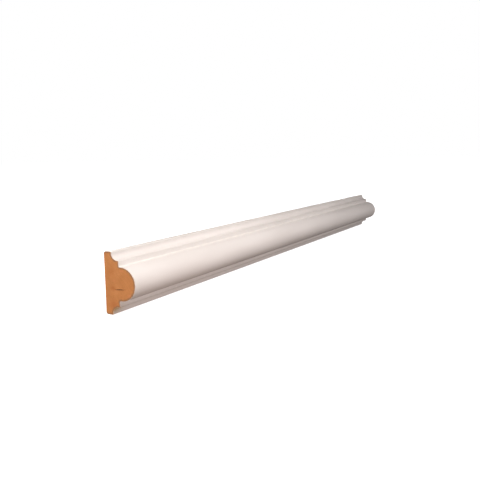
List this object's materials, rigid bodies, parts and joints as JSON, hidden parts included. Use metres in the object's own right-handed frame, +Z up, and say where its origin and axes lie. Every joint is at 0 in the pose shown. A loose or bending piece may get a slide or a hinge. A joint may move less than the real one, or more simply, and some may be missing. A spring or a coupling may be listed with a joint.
{
  "type": "wall moulding",
  "caption": "Straight wooden wall moulding with a half-round bead between flat fillets, coves running out to thin nibs, a flat back and square-cut ends.",
  "frame": {"origin": "middle of the flat back face, half way along the length and half way up", "axes": "+X along the length, +Y out of the back towards the wall, so the moulded front faces -Y, +Z up"},
  "size_m": [0.575, 0.0265, 0.045],
  "materials": {
    "primed_wood": "matt off-white primer on planed softwood, with bare end grain on the square-cut ends"
  },
  "bodies": {
    "root": {"moulding": "primed_wood"}
  },
  "joints": []
}
